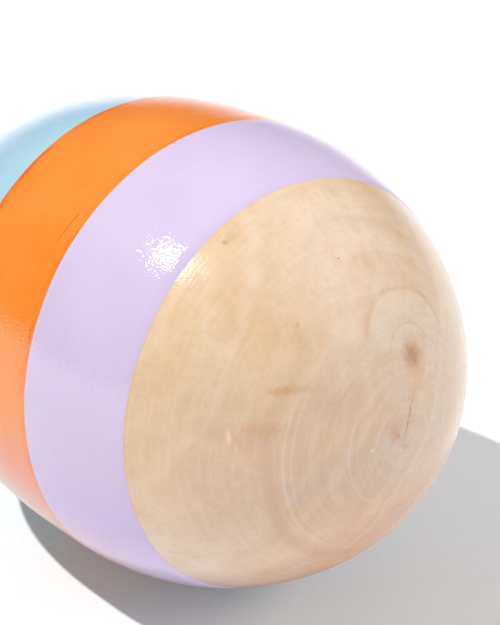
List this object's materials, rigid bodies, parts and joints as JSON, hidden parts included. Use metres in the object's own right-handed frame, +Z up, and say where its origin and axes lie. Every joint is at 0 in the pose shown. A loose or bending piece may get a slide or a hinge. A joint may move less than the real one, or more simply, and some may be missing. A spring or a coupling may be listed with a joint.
{
  "type": "egg shaker",
  "caption": "Hollow turned wooden egg rattle with a natural blunt end, lilac, orange and pale blue painted bands, and loose steel pellets sealed inside.",
  "frame": {"origin": "point where the egg touches the table, under the middle of its widest part", "axes": "+X along the egg's axis towards its blunt end, +Z up"},
  "size_m": [0.0656, 0.046, 0.0459],
  "materials": {
    "natural_wood": "satin, bare turned wood",
    "lilac_paint": "gloss lacquer",
    "orange_paint": "gloss lacquer",
    "blue_paint": "gloss lacquer",
    "pellet_steel": "bright ground balls"
  },
  "bodies": {
    "egg": {"blunt_shell": "natural_wood", "narrow_shell": "natural_wood", "lilac_coat": "lilac_paint", "orange_coat": "orange_paint", "blue_coat": "blue_paint"},
    "pellet_01": {"pellet_01": "pellet_steel"},
    "pellet_02": {"pellet_02": "pellet_steel"},
    "pellet_03": {"pellet_03": "pellet_steel"},
    "pellet_04": {"pellet_04": "pellet_steel"},
    "pellet_05": {"pellet_05": "pellet_steel"},
    "pellet_06": {"pellet_06": "pellet_steel"},
    "pellet_07": {"pellet_07": "pellet_steel"},
    "pellet_08": {"pellet_08": "pellet_steel"},
    "pellet_09": {"pellet_09": "pellet_steel"},
    "pellet_10": {"pellet_10": "pellet_steel"},
    "pellet_11": {"pellet_11": "pellet_steel"},
    "pellet_12": {"pellet_12": "pellet_steel"},
    "pellet_13": {"pellet_13": "pellet_steel"},
    "pellet_14": {"pellet_14": "pellet_steel"},
    "pellet_15": {"pellet_15": "pellet_steel"},
    "pellet_16": {"pellet_16": "pellet_steel"},
    "pellet_17": {"pellet_17": "pellet_steel"},
    "pellet_18": {"pellet_18": "pellet_steel"},
    "pellet_19": {"pellet_19": "pellet_steel"},
    "pellet_20": {"pellet_20": "pellet_steel"},
    "pellet_21": {"pellet_21": "pellet_steel"},
    "pellet_22": {"pellet_22": "pellet_steel"},
    "pellet_23": {"pellet_23": "pellet_steel"},
    "pellet_24": {"pellet_24": "pellet_steel"},
    "pellet_25": {"pellet_25": "pellet_steel"},
    "pellet_26": {"pellet_26": "pellet_steel"},
    "pellet_27": {"pellet_27": "pellet_steel"}
  },
  "joints": [
    {"name": "pellet_01_toss", "type": "slide", "parent": "egg", "child": "pellet_01", "axis": [0, 0, 1], "range_m": [0, 0.0238]},
    {"name": "pellet_02_toss", "type": "slide", "parent": "egg", "child": "pellet_02", "axis": [0, 0, 1], "range_m": [0, 0.0281]},
    {"name": "pellet_03_toss", "type": "slide", "parent": "egg", "child": "pellet_03", "axis": [0, 0, 1], "range_m": [0, 0.0294]},
    {"name": "pellet_04_toss", "type": "slide", "parent": "egg", "child": "pellet_04", "axis": [0, 0, 1], "range_m": [0, 0.0281]},
    {"name": "pellet_05_toss", "type": "slide", "parent": "egg", "child": "pellet_05", "axis": [0, 0, 1], "range_m": [0, 0.0238]},
    {"name": "pellet_06_toss", "type": "slide", "parent": "egg", "child": "pellet_06", "axis": [0, 0, 1], "range_m": [0, 0.0277]},
    {"name": "pellet_07_toss", "type": "slide", "parent": "egg", "child": "pellet_07", "axis": [0, 0, 1], "range_m": [0, 0.0302]},
    {"name": "pellet_08_toss", "type": "slide", "parent": "egg", "child": "pellet_08", "axis": [0, 0, 1], "range_m": [0, 0.0302]},
    {"name": "pellet_09_toss", "type": "slide", "parent": "egg", "child": "pellet_09", "axis": [0, 0, 1], "range_m": [0, 0.0277]},
    {"name": "pellet_10_toss", "type": "slide", "parent": "egg", "child": "pellet_10", "axis": [0, 0, 1], "range_m": [0, 0.0259]},
    {"name": "pellet_11_toss", "type": "slide", "parent": "egg", "child": "pellet_11", "axis": [0, 0, 1], "range_m": [0, 0.0299]},
    {"name": "pellet_12_toss", "type": "slide", "parent": "egg", "child": "pellet_12", "axis": [0, 0, 1], "range_m": [0, 0.0311]},
    {"name": "pellet_13_toss", "type": "slide", "parent": "egg", "child": "pellet_13", "axis": [0, 0, 1], "range_m": [0, 0.0299]},
    {"name": "pellet_14_toss", "type": "slide", "parent": "egg", "child": "pellet_14", "axis": [0, 0, 1], "range_m": [0, 0.0259]},
    {"name": "pellet_15_toss", "type": "slide", "parent": "egg", "child": "pellet_15", "axis": [0, 0, 1], "range_m": [0, 0.0284]},
    {"name": "pellet_16_toss", "type": "slide", "parent": "egg", "child": "pellet_16", "axis": [0, 0, 1], "range_m": [0, 0.0309]},
    {"name": "pellet_17_toss", "type": "slide", "parent": "egg", "child": "pellet_17", "axis": [0, 0, 1], "range_m": [0, 0.0309]},
    {"name": "pellet_18_toss", "type": "slide", "parent": "egg", "child": "pellet_18", "axis": [0, 0, 1], "range_m": [0, 0.0284]},
    {"name": "pellet_19_toss", "type": "slide", "parent": "egg", "child": "pellet_19", "axis": [0, 0, 1], "range_m": [0, 0.0257]},
    {"name": "pellet_20_toss", "type": "slide", "parent": "egg", "child": "pellet_20", "axis": [0, 0, 1], "range_m": [0, 0.0297]},
    {"name": "pellet_21_toss", "type": "slide", "parent": "egg", "child": "pellet_21", "axis": [0, 0, 1], "range_m": [0, 0.0309]},
    {"name": "pellet_22_toss", "type": "slide", "parent": "egg", "child": "pellet_22", "axis": [0, 0, 1], "range_m": [0, 0.0297]},
    {"name": "pellet_23_toss", "type": "slide", "parent": "egg", "child": "pellet_23", "axis": [0, 0, 1], "range_m": [0, 0.0257]},
    {"name": "pellet_24_toss", "type": "slide", "parent": "egg", "child": "pellet_24", "axis": [0, 0, 1], "range_m": [0, 0.0264]},
    {"name": "pellet_25_toss", "type": "slide", "parent": "egg", "child": "pellet_25", "axis": [0, 0, 1], "range_m": [0, 0.029]},
    {"name": "pellet_26_toss", "type": "slide", "parent": "egg", "child": "pellet_26", "axis": [0, 0, 1], "range_m": [0, 0.029]},
    {"name": "pellet_27_toss", "type": "slide", "parent": "egg", "child": "pellet_27", "axis": [0, 0, 1], "range_m": [0, 0.0264]}
  ]
}
